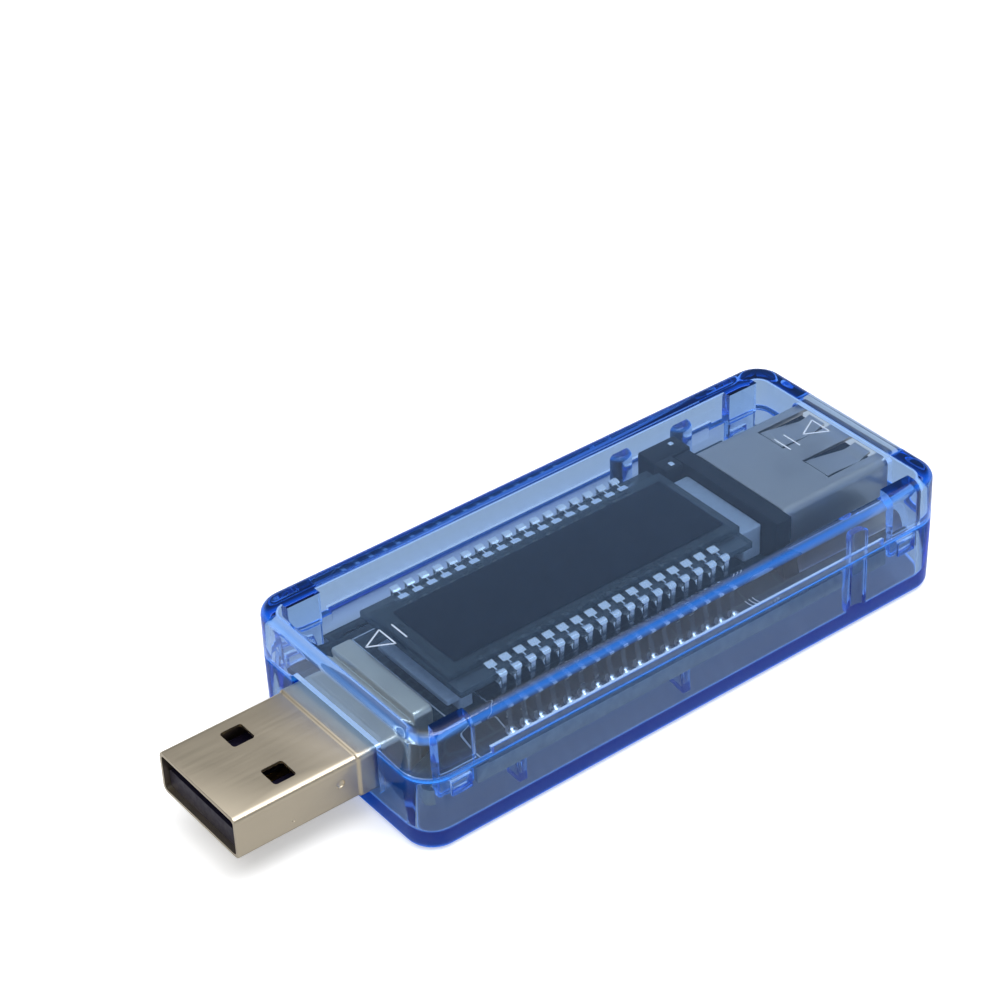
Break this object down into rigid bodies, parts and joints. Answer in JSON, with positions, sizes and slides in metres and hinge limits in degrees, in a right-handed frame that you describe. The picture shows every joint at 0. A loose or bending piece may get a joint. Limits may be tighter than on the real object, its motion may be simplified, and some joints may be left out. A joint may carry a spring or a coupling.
{
  "type": "usb power meter",
  "caption": "Pass-through power meter in a clear blue snap casing, with a plug at one end, a socket at the other and a display on its front.",
  "frame": {"origin": "middle of the object's footprint, on the surface its back cover lies on", "axes": "+X from the plug to the socket along the length, +Z out of the display, +Y completes a right-handed frame"},
  "size_m": [0.0764, 0.0262, 0.013],
  "materials": {
    "clear_blue_casing": "clear blue moulded plastic, polished sides, fine matt texture on the back face",
    "board_mask": "dark solder mask on glass-fibre board",
    "display_glass": "clear float glass",
    "polariser_film": "dark neutral film with a soft sheen",
    "backlight_white": "white diffusing moulding",
    "led_body": "small light source body",
    "tinned_pins": "bright tinned metal",
    "plug_nickel": "satin nickel plate, warm grey",
    "navy_moulding": "very dark blue moulded insulator",
    "contact_gold": "gold-flashed spring bronze",
    "socket_steel": "bright rolled steel",
    "black_moulding": "black moulded insulator",
    "chip_body": "black moulding compound",
    "ceramic_capacitor": "tan ceramic with tinned ends",
    "crystal_can": "drawn steel can"
  },
  "bodies": {
    "meter": {"amplifier_chip": "chip_body", "back_cover": "clear_blue_casing", "backlight_led": "led_body", "backlight_panel": "backlight_white", "capacitor_1": "ceramic_capacitor", "capacitor_2": "ceramic_capacitor", "capacitor_3": "ceramic_capacitor", "circuit_board": "board_mask", "corner_block": "black_moulding", "crystal": "crystal_can", "front_cover": "clear_blue_casing", "lcd_front_glass": "display_glass", "lcd_front_polariser": "polariser_film", "lcd_pin_row_far": "tinned_pins", "lcd_pin_row_near": "tinned_pins", "lcd_rear_glass": "display_glass", "lcd_rear_polariser": "polariser_film", "memory_chip": "chip_body", "microcontroller": "chip_body", "plug_contact_1": "contact_gold", "plug_contact_2": "contact_gold", "plug_contact_3": "contact_gold", "plug_contact_4": "contact_gold", "plug_insulator": "navy_moulding", "plug_shell": "plug_nickel", "resistor_1": "chip_body", "resistor_2": "chip_body", "resistor_3": "chip_body", "shunt_resistor": "chip_body", "socket_insulator": "black_moulding", "socket_shell": "socket_steel", "socket_tail_1": "contact_gold", "socket_tail_2": "contact_gold", "socket_tail_3": "contact_gold", "socket_tail_4": "contact_gold", "voltage_regulator": "chip_body"},
    "socket_spring_1": {"socket_spring_1": "contact_gold"},
    "socket_spring_2": {"socket_spring_2": "contact_gold"},
    "socket_spring_3": {"socket_spring_3": "contact_gold"},
    "socket_spring_4": {"socket_spring_4": "contact_gold"},
    "socket_finger_top_near": {"socket_finger_top_near": "socket_steel"},
    "socket_finger_top_far": {"socket_finger_top_far": "socket_steel"},
    "socket_finger_bottom_near": {"socket_finger_bottom_near": "socket_steel"},
    "socket_finger_bottom_far": {"socket_finger_bottom_far": "socket_steel"}
  },
  "joints": [
    {"name": "contact_flex_1", "type": "hinge", "parent": "meter", "child": "socket_spring_1", "pos_m": [0.02635, -0.0035, 0.00795], "axis": [0, -1, 0], "range_deg": [0, 4.5], "stiffness_Nm_per_rad": 0.08},
    {"name": "contact_flex_2", "type": "hinge", "parent": "meter", "child": "socket_spring_2", "pos_m": [0.02635, -0.001, 0.00795], "axis": [0, -1, 0], "range_deg": [0, 4.5], "stiffness_Nm_per_rad": 0.08},
    {"name": "contact_flex_3", "type": "hinge", "parent": "meter", "child": "socket_spring_3", "pos_m": [0.02635, 0.001, 0.00795], "axis": [0, -1, 0], "range_deg": [0, 4.5], "stiffness_Nm_per_rad": 0.08},
    {"name": "contact_flex_4", "type": "hinge", "parent": "meter", "child": "socket_spring_4", "pos_m": [0.02635, 0.0035, 0.00795], "axis": [0, -1, 0], "range_deg": [0, 4.5], "stiffness_Nm_per_rad": 0.08},
    {"name": "finger_flex_top_near", "type": "hinge", "parent": "meter", "child": "socket_finger_top_near", "pos_m": [0.03065, -0.0032, 0.01051], "axis": [0, -1, 0], "range_deg": [0, 3], "stiffness_Nm_per_rad": 0.3},
    {"name": "finger_flex_top_far", "type": "hinge", "parent": "meter", "child": "socket_finger_top_far", "pos_m": [0.03065, 0.0032, 0.01051], "axis": [0, -1, 0], "range_deg": [0, 3], "stiffness_Nm_per_rad": 0.3},
    {"name": "finger_flex_bottom_near", "type": "hinge", "parent": "meter", "child": "socket_finger_bottom_near", "pos_m": [0.03065, -0.0032, 0.00509], "axis": [0, 1, 0], "range_deg": [0, 3], "stiffness_Nm_per_rad": 0.3},
    {"name": "finger_flex_bottom_far", "type": "hinge", "parent": "meter", "child": "socket_finger_bottom_far", "pos_m": [0.03065, 0.0032, 0.00509], "axis": [0, 1, 0], "range_deg": [0, 3], "stiffness_Nm_per_rad": 0.3}
  ]
}
